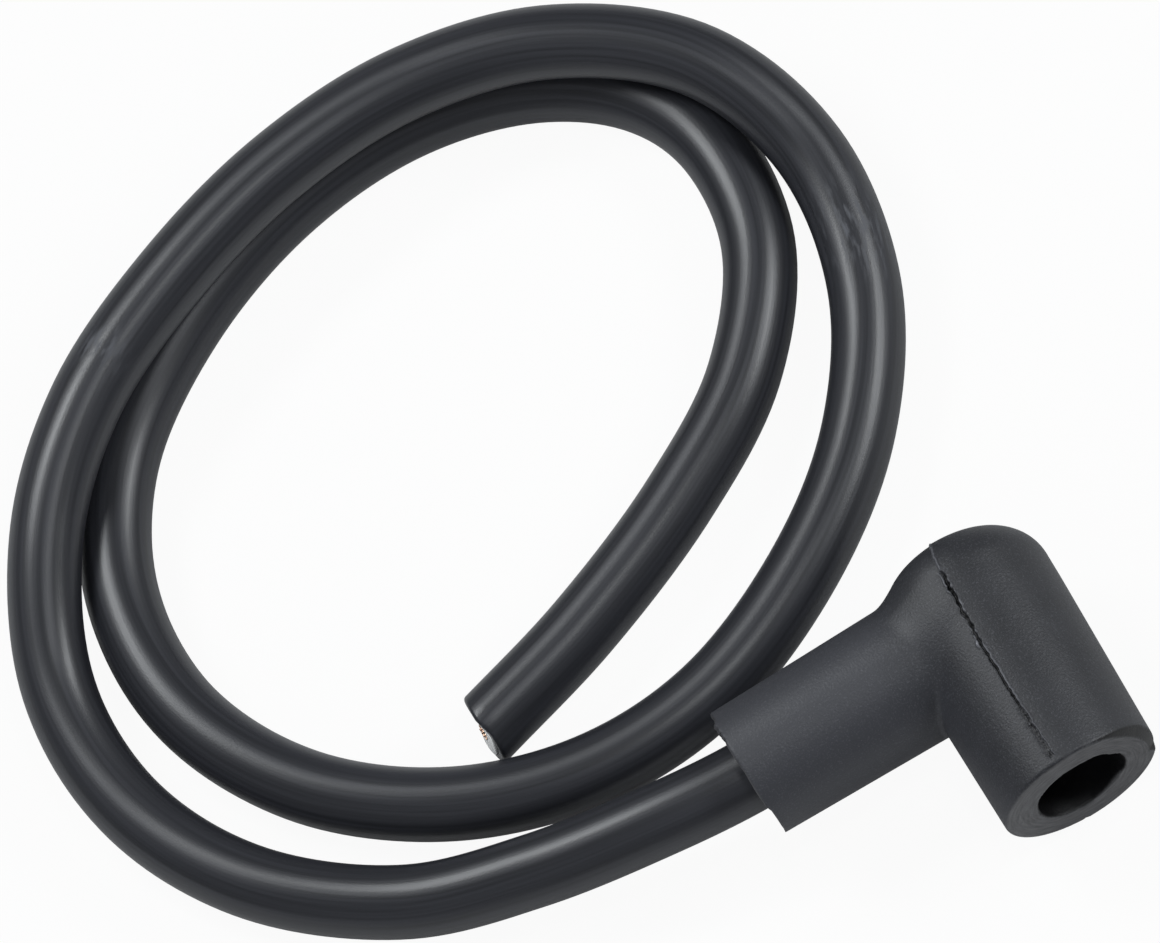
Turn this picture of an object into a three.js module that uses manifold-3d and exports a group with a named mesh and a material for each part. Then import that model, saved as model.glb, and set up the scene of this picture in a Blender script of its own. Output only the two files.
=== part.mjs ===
// A spark plug lead: 7 mm ignition cable with a right-angled rubber boot on one end, cut bare at the other.
// Millimetres. The lead lies on a table at z = 0, +X runs from the boot's cable mouth to its elbow,
// and the plug socket opens towards -Y.
import * as THREE from 'three';
import { mergeVertices } from 'three/addons/utils/BufferGeometryUtils.js';
import Module from 'manifold-3d';

// The cable's layers, from outside to inside, as radii.
const CABLE_RADIUS = 3.5;
const INSULATION_RADIUS = 2.4;
const CONDUCTOR_RADIUS = 0.8;
const LAYER_CLEARANCE = 0.2;
const CABLE_SIDES = 12;
const CABLE_STEP = 10;
const CABLE_START = 6.6;
const BARED_CONDUCTOR = 2;

// The boot's cable tube, measured from the elbow, where the two axes cross.
const TUBE_RADIUS = 6.95;
const TUBE_MOUTH_RADIUS = 6.55;
const TUBE_REACH = 25.7;
const TUBE_ROOT = 3;
const MOUTH_ROUNDING = 0.45;
const GRIP_CLEARANCE = 0.3;

// The boot's plug socket.
const SOCKET_RADIUS = 8;
const SHOULDER_RADIUS = 8.3;
const SHOULDER_BELOW_DOME = 7.5;
const SOCKET_REACH = 18.6;
const RIM_ROUNDING = 0.45;
const DOME_HEIGHT = 8.6;
const DOME_ROUNDING = 4.8;
const DOME_CROWN = 0.15;
const PLUG_BORE_RADIUS = 4.7;
const PLUG_BORE_CHAMFER = 0.4;
const DOME_WALL = 3.6;
const BORE_END_ROUNDING = 1.5;

// The soft fillet where the tube runs into the domed end of the socket.
const FILLET_RADIUS = 5.5;
const FILLET_LENGTH = 3;
const FILLET_SIDE_SHARE = 0.45;

// The stamped terminal.
const SHEET = 0.45;
const TERMINAL_CLEARANCE = 0.3;
const BARREL_LENGTH = 8;
const BARREL_PAST_CABLE = 1.1;
const BARREL_SEAM = 1.2;
const NECK_WIDTH = 3.2;
const NECK_BEND_RADIUS = 0.9;
const CUP_RADIUS = 3.35;
const CUP_LENGTH = 7;
const CUP_BEAD = 0.3;
const CUP_FLARE = 0.45;
const CUP_SLOT = 0.8;
const CUP_SLOT_LENGTH = 5;
const CUP_BELOW_BARREL = 1.4;

const FACETS_ROUND_BOOT = 48;
const FACETS_ROUND_BORE = 32;
const FACETS_ROUND_CUP = 24;

// The cable's centreline past the boot: plan position from the elbow, and height above the table. The
// first turn climbs onto the second at the far side of the coil and comes down again on the right.
const ROUTE = [
  [-35, 1, 7.9],
  [-47.5, 4, 6.1],
  [-59.5, 9, 4.3],
  [-71, 19.5, 3.6],
  [-77, 32.5, 3.7],
  [-77, 46, 5.1],
  [-70.5, 58.7, 8.5],
  [-61, 67.5, 10.4],
  [-48, 74, 10.8],
  [-34, 78, 10.8],
  [-20, 78.5, 10.8],
  [-6.5, 74.5, 10.7],
  [4.5, 65.5, 9.4],
  [9, 53.5, 6],
  [7, 39.5, 4],
  [-0.5, 27, 3.5],
  [-11, 18, 3.5],
  [-25, 11.6, 3.5],
  [-38, 11, 3.5],
  [-51, 15.5, 3.5],
  [-62, 25, 3.5],
  [-68, 38, 3.5],
  [-67.5, 51.5, 3.5],
  [-61.3, 63.2, 3.5],
  [-50, 72, 3.5],
  [-36, 77.5, 3.5],
  [-22, 78.5, 3.5],
  [-10, 75, 3.5],
  [-2, 68.5, 3.5],
  [1.5, 60.5, 3.5],
  [0.5, 49, 3.5],
  [-7, 38, 3.5],
  [-18, 30.5, 3.5],
  [-32, 24.2, 3.5],
  [-45, 20.2, 3.5],
];

// The boot lies on its shoulder, so its two axes are one shoulder radius above the table.
const AXIS_HEIGHT = SHOULDER_RADIUS;
const GRIP_RADIUS = CABLE_RADIUS + GRIP_CLEARANCE;
const BARREL_RADIUS = CABLE_RADIUS + TERMINAL_CLEARANCE;
const CHAMBER_RADIUS = BARREL_RADIUS + SHEET + TERMINAL_CLEARANCE;
const BARREL_FRONT = CABLE_START - BARREL_PAST_CABLE;
const CHAMBER_REACH = BARREL_FRONT + BARREL_LENGTH + TERMINAL_CLEARANCE;
const BORE_END = DOME_HEIGHT - DOME_WALL;
const FULL_TURN = 2 * Math.PI;

const wasm = await Module();
wasm.setup();

function toSolid(geometry) {
  const bare = geometry.index ? geometry.clone() : geometry;
  bare.deleteAttribute('normal');
  bare.deleteAttribute('uv');
  const merged = mergeVertices(bare);
  const corners = merged.index.array;
  const triangles = [];
  for (let i = 0; i < corners.length; i += 3) {
    const [a, b, c] = [corners[i], corners[i + 1], corners[i + 2]];
    if (a !== b && b !== c && c !== a) {
      triangles.push(a, b, c);
    }
  }
  const mesh = new wasm.Mesh({
    numProp: 3,
    vertProperties: new Float32Array(merged.attributes.position.array),
    triVerts: new Uint32Array(triangles),
  });
  return new wasm.Manifold(mesh);
}

function toGeometry(solid) {
  const mesh = solid.getMesh();
  const geometry = new THREE.BufferGeometry();
  geometry.setAttribute('position', new THREE.BufferAttribute(mesh.vertProperties, 3));
  geometry.setIndex(new THREE.BufferAttribute(mesh.triVerts, 1));
  geometry.computeVertexNormals();
  return geometry;
}

// Points of a quarter circle in a lathe profile, from one angle to another, both in degrees.
function arc(centreRadius, centreHeight, radius, from, to, steps) {
  const points = [];
  for (let i = 0; i <= steps; i += 1) {
    const angle = THREE.MathUtils.degToRad(from + ((to - from) * i) / steps);
    points.push([centreRadius + radius * Math.cos(angle), centreHeight + radius * Math.sin(angle)]);
  }
  return points;
}

function revolve(profile, facets) {
  const points = profile.map(([radius, height]) => new THREE.Vector2(radius, height));
  return new THREE.LatheGeometry(points, facets);
}

// A turned shape whose own +Y becomes -X, which is the way that the cable leaves the boot.
function revolveAlongCable(profile, facets) {
  return revolve(profile, facets).rotateZ(Math.PI / 2);
}

function smoothstep(value) {
  const t = THREE.MathUtils.clamp(value, 0, 1);
  return t * t * (3 - 2 * t);
}

// The outside of the plug socket: a slight taper up to the shoulder, then the closed dome.
function socketOutside() {
  const crownEdge = SHOULDER_RADIUS - DOME_ROUNDING;
  const shoulderHeight = DOME_HEIGHT - SHOULDER_BELOW_DOME;
  return revolve([
    [0, -SOCKET_REACH],
    ...arc(SOCKET_RADIUS - RIM_ROUNDING, RIM_ROUNDING - SOCKET_REACH, RIM_ROUNDING, -90, 0, 3),
    [SHOULDER_RADIUS, shoulderHeight],
    ...arc(crownEdge, DOME_HEIGHT - DOME_CROWN - DOME_ROUNDING, DOME_ROUNDING, 0, 90, 8),
    [0, DOME_HEIGHT],
  ], FACETS_ROUND_BOOT);
}

// How far the fillet stands out from the tube at a place along it, for a direction about its axis.
// Upwards is towards the dome, where the fillet is full; it fades to a sharp corner on the open side.
function filletRise(x, angleFromDome) {
  const towardsDome = smoothstep((Math.cos(angleFromDome) + 1) / 2);
  const share = towardsDome > 0.5
    ? THREE.MathUtils.lerp(FILLET_SIDE_SHARE, 1, (towardsDome - 0.5) * 2)
    : FILLET_SIDE_SHARE * towardsDome * 2;
  const sideways = TUBE_RADIUS * Math.sin(angleFromDome);
  const crease = -Math.sqrt(SHOULDER_RADIUS ** 2 - sideways ** 2);
  const start = crease - FILLET_LENGTH * share + (TUBE_ROOT / 2) * (1 - Math.abs(Math.sin(angleFromDome)));
  const along = THREE.MathUtils.clamp(x - start, 0, FILLET_LENGTH);
  return share * (FILLET_RADIUS - Math.sqrt(FILLET_RADIUS ** 2 - along ** 2));
}

// The tube narrows from the end of the fillet to its mouth, so that it draws out of the mould.
function tubeOutside() {
  const filletRings = 10;
  const filletFrom = SHOULDER_RADIUS + FILLET_LENGTH;
  const rings = [];
  for (let i = 0; i <= filletRings; i += 1) {
    const reach = THREE.MathUtils.lerp(TUBE_ROOT, filletFrom, i / filletRings);
    rings.push([TUBE_RADIUS, reach]);
  }
  const lipRadius = TUBE_MOUTH_RADIUS - MOUTH_ROUNDING;
  const geometry = revolveAlongCable([
    [0, TUBE_ROOT],
    ...rings,
    ...arc(lipRadius, TUBE_REACH - MOUTH_ROUNDING, MOUTH_ROUNDING, 0, 90, 3),
    [0, TUBE_REACH],
  ], FACETS_ROUND_BOOT);
  const place = geometry.attributes.position;
  for (let i = 0; i < place.count; i += 1) {
    const radius = Math.hypot(place.getY(i), place.getZ(i));
    if (radius > lipRadius) {
      const rise = filletRise(place.getX(i), Math.atan2(place.getZ(i), place.getY(i)));
      const grown = (radius + rise) / radius;
      place.setY(i, place.getY(i) * grown);
      place.setZ(i, place.getZ(i) * grown);
    }
  }
  return geometry;
}

// The hole for the plug: chamfered at the end face, closed and rounded under the dome.
function plugBore() {
  const openEnd = -SOCKET_REACH;
  const past = 1;
  return revolve([
    [0, openEnd - past],
    [PLUG_BORE_RADIUS + PLUG_BORE_CHAMFER, openEnd - past],
    [PLUG_BORE_RADIUS + PLUG_BORE_CHAMFER, openEnd],
    [PLUG_BORE_RADIUS, openEnd + PLUG_BORE_CHAMFER],
    ...arc(PLUG_BORE_RADIUS - BORE_END_ROUNDING, BORE_END - BORE_END_ROUNDING, BORE_END_ROUNDING, 0, 90, 4),
    [0, BORE_END],
  ], FACETS_ROUND_BORE);
}

// The hole for the cable, with a wider chamber near the elbow for the crimped barrel.
function cableBore() {
  const past = 1;
  return revolveAlongCable([
    [0, 0],
    [CHAMBER_RADIUS, 0],
    [CHAMBER_RADIUS, CHAMBER_REACH],
    [GRIP_RADIUS, CHAMBER_REACH + SHEET],
    [GRIP_RADIUS, TUBE_REACH + past],
    [0, TUBE_REACH + past],
  ], FACETS_ROUND_BORE);
}

function bootGeometry() {
  const outside = toSolid(socketOutside()).add(toSolid(tubeOutside()));
  const hollow = toSolid(plugBore()).add(toSolid(cableBore()));
  return toGeometry(outside.subtract(hollow));
}

// The crimp barrel: sheet wrapped round the cable, its seam on the side away from the neck.
function barrel() {
  const gap = BARREL_SEAM / (2 * BARREL_RADIUS);
  const start = gap;
  const end = FULL_TURN - gap;
  const section = new THREE.Shape();
  section.absarc(0, 0, BARREL_RADIUS + SHEET, start, end, false);
  section.absarc(0, 0, BARREL_RADIUS, end, start, true);
  const geometry = new THREE.ExtrudeGeometry(section, {
    depth: BARREL_LENGTH,
    bevelEnabled: false,
    curveSegments: FACETS_ROUND_CUP / 2,
  });
  geometry.rotateZ(Math.PI / 2);
  geometry.rotateY(-Math.PI / 2);
  geometry.translate(-BARREL_FRONT, 0, 0);
  return geometry;
}

// The neck: a strip that leaves the barrel's socket side, bends a right angle and joins the cup's wall.
function neck() {
  const barrelSide = -BARREL_RADIUS;
  const cupSide = -CUP_RADIUS;
  const cupEdge = -(BARREL_RADIUS + SHEET + CUP_BELOW_BARREL);
  const overlap = SHEET;
  const outer = NECK_BEND_RADIUS + SHEET;
  const bendX = cupSide - outer;
  const bendY = barrelSide - outer;
  const profile = new THREE.Shape();
  profile.moveTo(-BARREL_FRONT - overlap, barrelSide);
  profile.lineTo(bendX, barrelSide);
  profile.absarc(bendX, bendY, outer, Math.PI / 2, 0, true);
  profile.lineTo(cupSide, cupEdge - overlap);
  profile.lineTo(cupSide - SHEET, cupEdge - overlap);
  profile.lineTo(cupSide - SHEET, bendY);
  profile.absarc(bendX, bendY, NECK_BEND_RADIUS, 0, Math.PI / 2, false);
  profile.lineTo(-BARREL_FRONT - overlap, barrelSide - SHEET);
  profile.closePath();
  const geometry = new THREE.ExtrudeGeometry(profile, {
    depth: NECK_WIDTH,
    bevelEnabled: false,
    curveSegments: 6,
  });
  geometry.translate(0, 0, -NECK_WIDTH / 2);
  return geometry;
}

// The snap cup: a turned sheet sleeve with a flared lip and a bead that grips the plug's nut, slotted
// so that it can spring open.
function cup() {
  const top = -(BARREL_RADIUS + SHEET + CUP_BELOW_BARREL);
  const lip = top - CUP_LENGTH;
  const beadHeight = lip + CUP_LENGTH * 0.35;
  const inside = [
    [CUP_RADIUS + CUP_FLARE, lip],
    [CUP_RADIUS, lip + CUP_FLARE * 2],
    [CUP_RADIUS, beadHeight - CUP_BEAD * 2],
    [CUP_RADIUS - CUP_BEAD, beadHeight],
    [CUP_RADIUS, beadHeight + CUP_BEAD * 2],
    [CUP_RADIUS, top],
  ];
  const outside = inside.map(([radius, height]) => [radius + SHEET, height]);
  const sleeve = toSolid(revolve([...outside, ...inside.reverse(), outside[0]], FACETS_ROUND_CUP));
  const slot = new THREE.BoxGeometry(CUP_SLOT, CUP_SLOT_LENGTH, 4 * CUP_RADIUS);
  slot.translate(0, lip + CUP_SLOT_LENGTH / 2 - CUP_SLOT, 0);
  return sleeve.subtract(toSolid(slot));
}

function terminalGeometry() {
  return toGeometry(cup().add(toSolid(neck())).add(toSolid(barrel())));
}

// The centreline of the whole cable: straight inside the boot, then along the route.
function cableCentreline(elbow) {
  const straight = [];
  const stops = 3;
  for (let i = 0; i <= stops; i += 1) {
    const reach = THREE.MathUtils.lerp(CABLE_START, TUBE_REACH + 1, i / stops);
    straight.push(new THREE.Vector3(elbow.x - reach, elbow.y, AXIS_HEIGHT));
  }
  const free = ROUTE.map(([x, y, height]) => new THREE.Vector3(elbow.x + x, elbow.y + y, height));
  return new THREE.CatmullRomCurve3([...straight, ...free]);
}

function circle(radius) {
  const points = [];
  for (let i = 0; i < CABLE_SIDES; i += 1) {
    const angle = (FULL_TURN * (i + 0.5)) / CABLE_SIDES;
    points.push(new THREE.Vector2(radius * Math.cos(angle), radius * Math.sin(angle)));
  }
  return points;
}

// One layer of the cable, hollow where another layer runs inside it.
function cableLayer(centreline, outerRadius, innerRadius) {
  const section = new THREE.Shape(circle(outerRadius));
  if (innerRadius > 0) {
    section.holes.push(new THREE.Path(circle(innerRadius).reverse()));
  }
  return new THREE.ExtrudeGeometry(section, {
    steps: Math.round(centreline.getLength() / CABLE_STEP),
    bevelEnabled: false,
    extrudePath: centreline,
  });
}

// The strands, with a bared end that stands out of the insulation inside the boot.
function conductorGeometry(centreline, elbow) {
  const run = toSolid(cableLayer(centreline, CONDUCTOR_RADIUS, 0));
  const overlap = 1;
  const length = BARED_CONDUCTOR + overlap;
  const tip = new THREE.CylinderGeometry(CONDUCTOR_RADIUS, CONDUCTOR_RADIUS, length, CABLE_SIDES);
  tip.rotateZ(Math.PI / 2);
  tip.translate(elbow.x - CABLE_START + length / 2 - overlap, elbow.y, AXIS_HEIGHT);
  return toGeometry(run.add(toSolid(tip)));
}

function material(color, roughness, metalness) {
  return new THREE.MeshStandardMaterial({ color, roughness, metalness });
}

function piece(name, geometry, look) {
  const mesh = new THREE.Mesh(geometry, look);
  mesh.name = name;
  return mesh;
}

// The origin is under the middle of the boot's box, so the elbow lies off it.
const elbow = new THREE.Vector3(
  (TUBE_REACH - SHOULDER_RADIUS) / 2,
  (SOCKET_REACH - DOME_HEIGHT) / 2,
  AXIS_HEIGHT,
);
const centreline = cableCentreline(elbow);

const lead = new THREE.Group();

const fitting = new THREE.Group();
fitting.position.copy(elbow);
fitting.add(piece('boot', bootGeometry(), material(0x3a3b3f, 0.8, 0)));
fitting.add(piece('plug_terminal', terminalGeometry(), material(0xa9a49a, 0.35, 1)));
lead.add(fitting);

const jacket = cableLayer(centreline, CABLE_RADIUS, INSULATION_RADIUS + LAYER_CLEARANCE);
const insulation = cableLayer(centreline, INSULATION_RADIUS, CONDUCTOR_RADIUS + LAYER_CLEARANCE);
lead.add(piece('wire_jacket', jacket, material(0x2c2d30, 0.45, 0)));
lead.add(piece('wire_insulation', insulation, material(0xf0eee8, 0.5, 0)));
lead.add(piece('wire_conductor', conductorGeometry(centreline, elbow), material(0xb87848, 0.3, 1)));

export default lead;
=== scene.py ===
# %% [markdown]
# # A spark plug lead
# Half a metre of 7 mm ignition cable lies in a loose coil. One end carries a right-angled rubber boot
# that pushes onto a spark plug, and the other end is cut bare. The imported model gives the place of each
# piece, and this lesson dresses it: first the camera and the cable, then the boot, and last the
# materials and the light.

# %% Load the frame
import math

import bmesh
import bpy
import numpy as np
from mathutils import Matrix, Vector


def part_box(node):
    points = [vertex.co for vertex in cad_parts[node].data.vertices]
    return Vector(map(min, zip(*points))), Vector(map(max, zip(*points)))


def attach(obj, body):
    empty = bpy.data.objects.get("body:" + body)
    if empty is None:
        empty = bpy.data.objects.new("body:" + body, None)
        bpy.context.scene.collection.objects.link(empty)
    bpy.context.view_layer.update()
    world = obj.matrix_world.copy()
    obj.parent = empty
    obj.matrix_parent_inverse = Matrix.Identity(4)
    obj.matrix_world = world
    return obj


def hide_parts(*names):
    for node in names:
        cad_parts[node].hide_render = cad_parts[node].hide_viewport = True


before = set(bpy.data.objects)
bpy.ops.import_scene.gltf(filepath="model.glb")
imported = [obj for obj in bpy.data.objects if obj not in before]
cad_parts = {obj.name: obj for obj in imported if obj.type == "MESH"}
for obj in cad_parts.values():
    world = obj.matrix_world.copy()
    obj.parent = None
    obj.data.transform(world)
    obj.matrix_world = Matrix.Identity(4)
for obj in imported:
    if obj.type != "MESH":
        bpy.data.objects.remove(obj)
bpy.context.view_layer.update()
MM = 0.001
print("CAD nodes:", sorted(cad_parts))

# %% [markdown]
# ## The camera
# The lead was photographed from high up, with a long lens and the picture turned on its side a little.
# The camera is placed by the elbow of the boot, where the axes of its tube and socket cross. It stands
# four metres off, so that near and far parts of the lead keep their sizes, as through a long lens.

# %% Find the elbow and set the camera
SHOULDER_RADIUS = 8.3 * MM
SOCKET_REACH = 18.6 * MM
CAMERA_ELEVATION = math.radians(64.4)
CAMERA_ROLL = math.radians(31.0)
CAMERA_DISTANCE = 4.0
PICTURE_WIDTH = 108.3 * MM
PICTURE_CENTRE = Vector((-24.8, 37.4, -3.3)) * MM

boot_low, boot_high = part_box("boot")
elbow = Vector((boot_high.x - SHOULDER_RADIUS, boot_low.y + SOCKET_REACH, boot_low.z + SHOULDER_RADIUS))

lens = bpy.data.cameras.new("camera")
camera = bpy.data.objects.new("camera", lens)
bpy.context.scene.collection.objects.link(camera)
lens.lens = lens.sensor_width * CAMERA_DISTANCE / PICTURE_WIDTH

raised = Vector((0, math.sin(CAMERA_ELEVATION), math.cos(CAMERA_ELEVATION)))
to_camera = Vector((0, -math.cos(CAMERA_ELEVATION), math.sin(CAMERA_ELEVATION)))
picture_right = Vector((1, 0, 0)) * math.cos(CAMERA_ROLL) - raised * math.sin(CAMERA_ROLL)
picture_up = Vector((1, 0, 0)) * math.sin(CAMERA_ROLL) + raised * math.cos(CAMERA_ROLL)
picture_turn = Matrix((picture_right, picture_up, to_camera)).transposed()
stand = elbow + PICTURE_CENTRE + to_camera * CAMERA_DISTANCE
camera.matrix_world = Matrix.Translation(stand) @ picture_turn.to_4x4()
bpy.context.scene.camera = camera
print("elbow at", [round(value / MM, 2) for value in elbow], "mm")

# %% [markdown]
# ## The cable's path
# A stiff cable keeps one smooth curve. Its first turn climbs onto the second at the far side of the coil.
# The points below are the same that the solid cable follows: their places on the table are measured from
# the elbow and their heights from the table, in millimetres. A curve through them gives the centreline,
# and two directions across it say which way is sideways and which is up.

# %% Run a curve through the route
ROUTE = [
    (-35, 1, 7.9), (-47.5, 4, 6.1), (-59.5, 9, 4.3), (-71, 19.5, 3.6), (-77, 32.5, 3.7),
    (-77, 46, 5.1), (-70.5, 58.7, 8.5), (-61, 67.5, 10.4), (-48, 74, 10.8), (-34, 78, 10.8),
    (-20, 78.5, 10.8), (-6.5, 74.5, 10.7), (4.5, 65.5, 9.4), (9, 53.5, 6), (7, 39.5, 4),
    (-0.5, 27, 3.5), (-11, 18, 3.5), (-25, 11.6, 3.5), (-38, 11, 3.5), (-51, 15.5, 3.5),
    (-62, 25, 3.5), (-68, 38, 3.5), (-67.5, 51.5, 3.5), (-61.3, 63.2, 3.5), (-50, 72, 3.5),
    (-36, 77.5, 3.5), (-22, 78.5, 3.5), (-10, 75, 3.5), (-2, 68.5, 3.5), (1.5, 60.5, 3.5),
    (0.5, 49, 3.5), (-7, 38, 3.5), (-18, 30.5, 3.5), (-32, 24.2, 3.5), (-45, 20.2, 3.5),
]
CABLE_START = 6.6 * MM
TUBE_REACH = 25.7 * MM
STRAIGHT_PAST_MOUTH = 1 * MM
STRAIGHT_STOPS = 3
STEPS_PER_STOP = 40


def smooth_line(points, steps):
    """Points on the centripetal Catmull-Rom curve through the given points."""
    ends = [2 * points[0] - points[1], *points, 2 * points[-1] - points[-2]]
    line = []
    for before, start, end, after in zip(ends, ends[1:], ends[2:], ends[3:]):
        lead, span, trail = (math.sqrt(np.linalg.norm(step)) for step in
                             (start - before, end - start, after - end))
        leaving = (start - before) / lead - (end - before) / (lead + span) + (end - start) / span
        arriving = (end - start) / span - (after - start) / (span + trail) + (after - end) / trail
        leaving, arriving = leaving * span, arriving * span
        t = np.linspace(0, 1, steps, endpoint=False)[:, None]
        bend = -3 * start + 3 * end - 2 * leaving - arriving
        twist = 2 * start - 2 * end + leaving + arriving
        line.append(start + leaving * t + bend * t**2 + twist * t**3)
    return np.vstack([*line, points[-1]])


straight_run = TUBE_REACH + STRAIGHT_PAST_MOUTH - CABLE_START
inside_boot = [
    np.array(elbow) - (CABLE_START + straight_run * stop / STRAIGHT_STOPS, 0, 0)
    for stop in range(STRAIGHT_STOPS + 1)
]
free_points = [np.array((elbow.x + x * MM, elbow.y + y * MM, z * MM)) for x, y, z in ROUTE]
centreline = smooth_line(inside_boot + free_points, STEPS_PER_STOP)
steps_taken = np.linalg.norm(np.diff(centreline, axis=0), axis=1)
distance_along = np.concatenate([[0], np.cumsum(steps_taken)])
CABLE_LENGTH = distance_along[-1]

heading = np.gradient(centreline, distance_along, axis=0)
heading /= np.linalg.norm(heading, axis=1)[:, None]
sideways = np.cross(heading, (0, 0, 1))
sideways /= np.linalg.norm(sideways, axis=1)[:, None]
upwards = np.cross(sideways, heading)
print(f"cable length {CABLE_LENGTH / MM:.1f} mm")

# %% [markdown]
# ## How a cable is drawn
# A tube is a grid of rings. Each ring point knows how far along the cable it lies, how far to the side
# of its middle and how far above it. Those three numbers also say where the point would be if the cable
# were pulled straight. They are stored as the attribute "straight", so that extrusion streaks follow
# the bends without a seam.

# %% Sweep rings along the path
def read_places(mesh):
    places = np.empty(len(mesh.vertices) * 3)
    mesh.vertices.foreach_get("co", places)
    return places.reshape(-1, 3)


def write_places(mesh, places):
    mesh.vertices.foreach_set("co", places.ravel())
    mesh.update()


def store_numbers(mesh, name, values):
    """Keeps one number or one vector for each vertex, for a material to read."""
    kind, slot = ("FLOAT_VECTOR", "vector") if values.ndim == 2 else ("FLOAT", "value")
    mesh.attributes.new(name, kind, "POINT").data.foreach_set(slot, values.ravel())


def follow(values, along):
    """Vectors that are known along the path, read at other distances along it."""
    return np.stack([np.interp(along, distance_along, values[:, axis]) for axis in range(3)], axis=-1)


def on_cable(along, across, height):
    """Places on the bent cable for points given on the straight one; past its end it runs straight on."""
    past = np.maximum(along - CABLE_LENGTH, 0)[..., None]
    side, up = follow(sideways, along), follow(upwards, along)
    side /= np.linalg.norm(side, axis=-1)[..., None]
    up /= np.linalg.norm(up, axis=-1)[..., None]
    middle = follow(centreline, along) + past * heading[-1]
    return middle + side * across[..., None] + up * height[..., None]


def grid_faces(rings, sides, closed):
    """Faces between neighbouring rings, facing out; closed joins the last ring to the first."""
    faces = []
    for ring in range(rings if closed else rings - 1):
        after = (ring + 1) % rings
        for side in range(sides):
            turned = (side + 1) % sides
            faces.append((ring * sides + side, ring * sides + turned,
                          after * sides + turned, after * sides + side))
    return faces


def new_piece(name, places, faces):
    mesh = bpy.data.meshes.new(name)
    mesh.from_pydata(places.reshape(-1, 3).tolist(), [], faces)
    piece = bpy.data.objects.new(name, mesh)
    bpy.context.scene.collection.objects.link(piece)
    mesh.shade_smooth()
    return piece


print("ring helpers ready")

# %% [markdown]
# ## The cut
# Somebody cut the cable with side cutters, so the end is slanted and its face is a little twisted. The
# slant is worked out across the direction of the blades, and fades out within nine millimetres. The soft
# middle gave way under the blades and stands a little proud of the jacket on the lower side.

# %% Shape of the cut end
CABLE_RADIUS = 3.5 * MM
EDGE_STEPS = 4
CUT_SLANT = math.tan(math.radians(13.5))
CUT_TURN = math.radians(24.6)
CUT_TWIST = {-0.8: -0.015, 1.2: 0.15}
FULLY_PROUD_AT = 1.6 * MM
CUT_REACH = 9 * MM


def reading(table, value):
    """Reads a table of numbers between its entries."""
    return np.interp(value, list(table), list(table.values()))


def cut_end(along, across, height, proud=0):
    """Moves points near the end of the straight cable onto the slanted cut, or proud of its lower half."""
    blade = across * math.cos(CUT_TURN) + height * math.sin(CUT_TURN)
    facing = height * math.cos(CUT_TURN) - across * math.sin(CUT_TURN)
    twist = reading(CUT_TWIST, blade / MM)
    slanted = -CUT_SLANT * blade + twist * facing + proud * np.clip(-blade / FULLY_PROUD_AT, 0, 1)
    share = np.clip(1 - (CABLE_LENGTH - along) / CUT_REACH, 0, 1)
    return along + slanted * share**2


def swept(name, loop, sides, proud=0):
    """A closed tube along the cable; loop lists distance along and radius, all round its wall."""
    along, radius = (np.array(column)[:, None] for column in zip(*loop))
    angle = np.linspace(0, 2 * math.pi, sides, endpoint=False)[None, :]
    across = radius * np.cos(angle)
    height = radius * np.sin(angle)
    along = cut_end(along + 0 * angle, across, height, proud)
    piece = new_piece(name, on_cable(along, across, height), grid_faces(len(loop), sides, True))
    straight = np.stack([along, across, height], axis=-1).reshape(-1, 3)
    store_numbers(piece.data, "straight", straight)
    return piece


def rounded_edge(middle_along, middle_radius, bend):
    """A quarter circle in the section of a wall, from its outside round to its cut face."""
    turns = np.radians(np.linspace(0, 90, EDGE_STEPS + 1))
    return [(middle_along + bend * math.sin(t), middle_radius + bend * math.cos(t)) for t in turns]


print(f"the cut is slanted by {math.degrees(math.atan(CUT_SLANT)):.1f} degrees")

# %% [markdown]
# ## Jacket and insulation
# The outer jacket is black rubber, extruded over white insulation. Both are real tubes here: an outside,
# a face at each end and an inside. The blades squeezed the jacket's edge round, and the soft insulation
# came out a little. Where the coil has rubbed against something, each vertex keeps how scuffed it is, for
# the material to use. The three scuffs are places, as in the route, and how far each one reaches.

# %% Make the jacket and the insulation
INSULATION_RADIUS = 2.4 * MM
LAYER_GAP = 0.05 * MM
CONDUCTOR_RADIUS = 0.8 * MM
EDGE_ROUNDING = 0.42 * MM
INSULATION_EDGE = 0.1 * MM
SQUEEZED_OUT = 0.2 * MM
RING_STEP = 1.1 * MM
FACE_STEPS = 5
JACKET_SIDES = 44
INSULATION_SIDES = 24
SCUFFS = [(9.3, 43.5, 8.5, 3.6), (9.8, 40.5, 7.5, 2.4), (-57.4, 70, 13.5, 2)]


def wall(outer, inner, rounding):
    """Section loop of a hollow layer: out along its outside, over the cut, back along its inside."""
    run = np.linspace(0, CABLE_LENGTH - rounding, int(CABLE_LENGTH / RING_STEP))
    inside = np.linspace(CABLE_LENGTH, 0, int(CABLE_LENGTH / RING_STEP / 2))
    face = np.linspace(outer - rounding, inner, FACE_STEPS + 1)[1:]
    loop = [(at, outer) for at in run[:-1]]
    loop += rounded_edge(CABLE_LENGTH - rounding, outer - rounding, rounding)
    loop += [(CABLE_LENGTH, radius) for radius in face]
    loop += [(at, inner) for at in inside[1:]]
    return loop


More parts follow.
